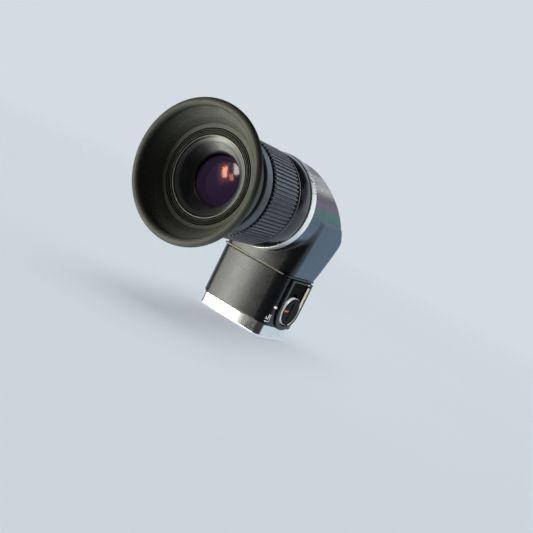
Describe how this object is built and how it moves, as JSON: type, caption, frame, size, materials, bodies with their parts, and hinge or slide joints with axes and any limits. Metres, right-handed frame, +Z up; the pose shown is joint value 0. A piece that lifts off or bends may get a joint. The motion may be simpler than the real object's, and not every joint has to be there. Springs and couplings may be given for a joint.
{
  "type": "right-angle finder scope",
  "caption": "Right-angle finder scope with a flared rubber eyecup, ribbed dioptre ring, prism housing, magnification slide and rotating mount socket.",
  "frame": {"origin": "centre of the mount socket's lower face", "axes": "+Z up the column's axis, -Y out of the eyepiece towards the eye, +X the side with the magnification slide"},
  "size_m": [0.042, 0.0739, 0.0603],
  "materials": {
    "brass": "satin",
    "steel": "satin",
    "chrome": "bright",
    "black_paint": "satin gloss",
    "black_metal": "black anodised",
    "glass": "clear",
    "coated_glass": "violet coated",
    "black_plastic": "satin",
    "white_mark": "paint fill",
    "silver_band": "satin anodised",
    "knurl_black": "satin anodised",
    "ring_black": "black anodised",
    "rubber": "matt",
    "orange_mark": "paint fill"
  },
  "bodies": {
    "mount": {"mount_socket": "brass"},
    "finder": {"socket_retainer": "steel", "base_ring": "chrome", "base_screws": "steel", "column_shell": "black_paint", "guide_tube": "black_metal", "front_lens_cell": "black_metal", "front_lens": "glass", "slide_plate": "black_plastic", "plate_screws": "steel", "index_dot": "white_mark", "seam_ring": "steel", "prism_housing": "black_paint", "prism": "glass", "prism_bracket": "steel", "prism_clip": "steel", "bracket_screws": "steel", "back_cover": "black_paint", "cover_screws": "steel", "eyepiece_tube": "black_metal", "index_band": "silver_band", "step_ring": "black_metal", "keeper_ring": "steel"},
    "dioptre": {"dioptre_ring": "knurl_black"},
    "eyepiece": {"drive_pin": "steel", "eyepiece_cell": "black_metal", "field_lens": "glass", "lens_spacer": "black_metal", "eye_lens": "coated_glass", "retaining_ring": "ring_black", "cup_collar": "knurl_black", "eyecup": "rubber"},
    "slide": {"zoom_carrier": "black_metal", "zoom_lens": "glass", "zoom_lens_ring": "black_metal", "detent_spring": "steel", "detent_ball": "steel", "knob_stud": "steel", "knob_cap": "black_plastic", "knob_rim": "chrome", "knob_pointer": "orange_mark"}
  },
  "joints": [
    {"name": "finder_turn", "type": "hinge", "parent": "mount", "child": "finder", "pos_m": [0, 0, 0], "axis": [0, 0, 1], "continuous": true},
    {"name": "dioptre_turn", "type": "hinge", "parent": "finder", "child": "dioptre", "pos_m": [0, 0, 0.0393], "axis": [0, -1, 0], "range_deg": [-30, 90]},
    {"name": "eyepiece_focus", "type": "slide", "parent": "finder", "child": "eyepiece", "axis": [0, -1, 0], "range_m": [-0.0006, 0.0018]},
    {"name": "magnification_slide", "type": "slide", "parent": "finder", "child": "slide", "axis": [0, 0, 1], "range_m": [0, 0.0042]}
  ],
  "couplings": [
    {"joint": "eyepiece_focus", "follows": "dioptre_turn", "m_per_rad": 0.0011459}
  ]
}
